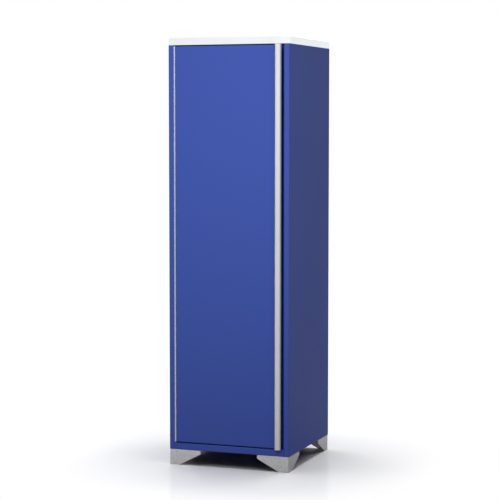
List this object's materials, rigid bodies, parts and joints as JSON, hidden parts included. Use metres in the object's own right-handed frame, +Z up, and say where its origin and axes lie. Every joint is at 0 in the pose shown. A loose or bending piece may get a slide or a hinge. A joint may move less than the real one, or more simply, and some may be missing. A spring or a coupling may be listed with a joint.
{
  "type": "tool chest side locker",
  "caption": "Tall narrow steel storage locker with one full-height hinged door, a full-length pull handle, a metal-clad top and sloped corner feet.",
  "frame": {"origin": "centre of the overall box, at floor level", "axes": "+Z up, -Y the front with the door, +X to the right of someone who faces the door"},
  "size_m": [0.457, 0.4804, 1.54],
  "materials": {
    "body_paint": "satin royal blue powder coat",
    "door_paint": "satin royal blue powder coat",
    "shelf_paint": "satin royal blue powder coat",
    "worktop_steel": "bright satin stainless sheet",
    "worktop_board": "raw particle board",
    "foot_steel": "satin grey metallic",
    "handle_aluminium": "satin anodised",
    "hinge_steel": "satin",
    "zinc_steel": "bright zinc plate",
    "catch_plastic": "matte moulded",
    "ferrite": "ground dark ferrite",
    "bumper_rubber": "matte"
  },
  "bodies": {
    "cabinet": {"side_panel_left": "body_paint", "side_panel_right": "body_paint", "door_post_left": "body_paint", "door_post_right": "body_paint", "door_stop_left": "body_paint", "door_stop_right": "body_paint", "back_panel": "body_paint", "wall_rail": "zinc_steel", "back_rivets": "zinc_steel", "floor_pan": "body_paint", "floor_stiffener": "body_paint", "top_pan": "body_paint", "worktop_core": "worktop_board", "worktop_skin": "worktop_steel", "worktop_screws": "zinc_steel", "foot_bolts": "zinc_steel", "foot_nuts": "zinc_steel", "shelf_clips": "zinc_steel", "catch_fasteners": "zinc_steel", "door_bumpers": "bumper_rubber", "hinge_frame_leaf": "hinge_steel", "hinge_pin": "hinge_steel", "hinge_frame_rivets": "zinc_steel", "foot_front_left": "foot_steel", "foot_front_right": "foot_steel", "foot_rear_left": "foot_steel", "foot_rear_right": "foot_steel", "upright_left_front": "body_paint", "upright_right_front": "body_paint", "upright_left_rear": "body_paint", "upright_right_rear": "body_paint", "shelf_1": "shelf_paint", "shelf_2": "shelf_paint", "shelf_3": "shelf_paint", "shelf_4": "shelf_paint", "catch_housing_lower": "catch_plastic", "catch_magnet_lower": "ferrite", "catch_poles_lower": "zinc_steel", "catch_bracket_lower": "zinc_steel", "catch_housing_upper": "catch_plastic", "catch_magnet_upper": "ferrite", "catch_poles_upper": "zinc_steel", "catch_bracket_upper": "zinc_steel"},
    "door": {"door_skin": "door_paint", "door_liner": "door_paint", "door_stiffener": "door_paint", "handle_backing_strip": "zinc_steel", "door_handle": "handle_aluminium", "handle_cap_top": "handle_aluminium", "handle_cap_bottom": "handle_aluminium", "handle_screws": "zinc_steel", "strike_rivets": "zinc_steel", "strike_plate_lower": "zinc_steel", "strike_plate_upper": "zinc_steel", "hinge_door_leaf": "hinge_steel", "hinge_door_rivets": "zinc_steel"}
  },
  "joints": [
    {"name": "door_swing", "type": "hinge", "parent": "cabinet", "child": "door", "pos_m": [-0.205, -0.22085, 0.797], "axis": [0, 0, -1], "range_deg": [0, 170]}
  ]
}
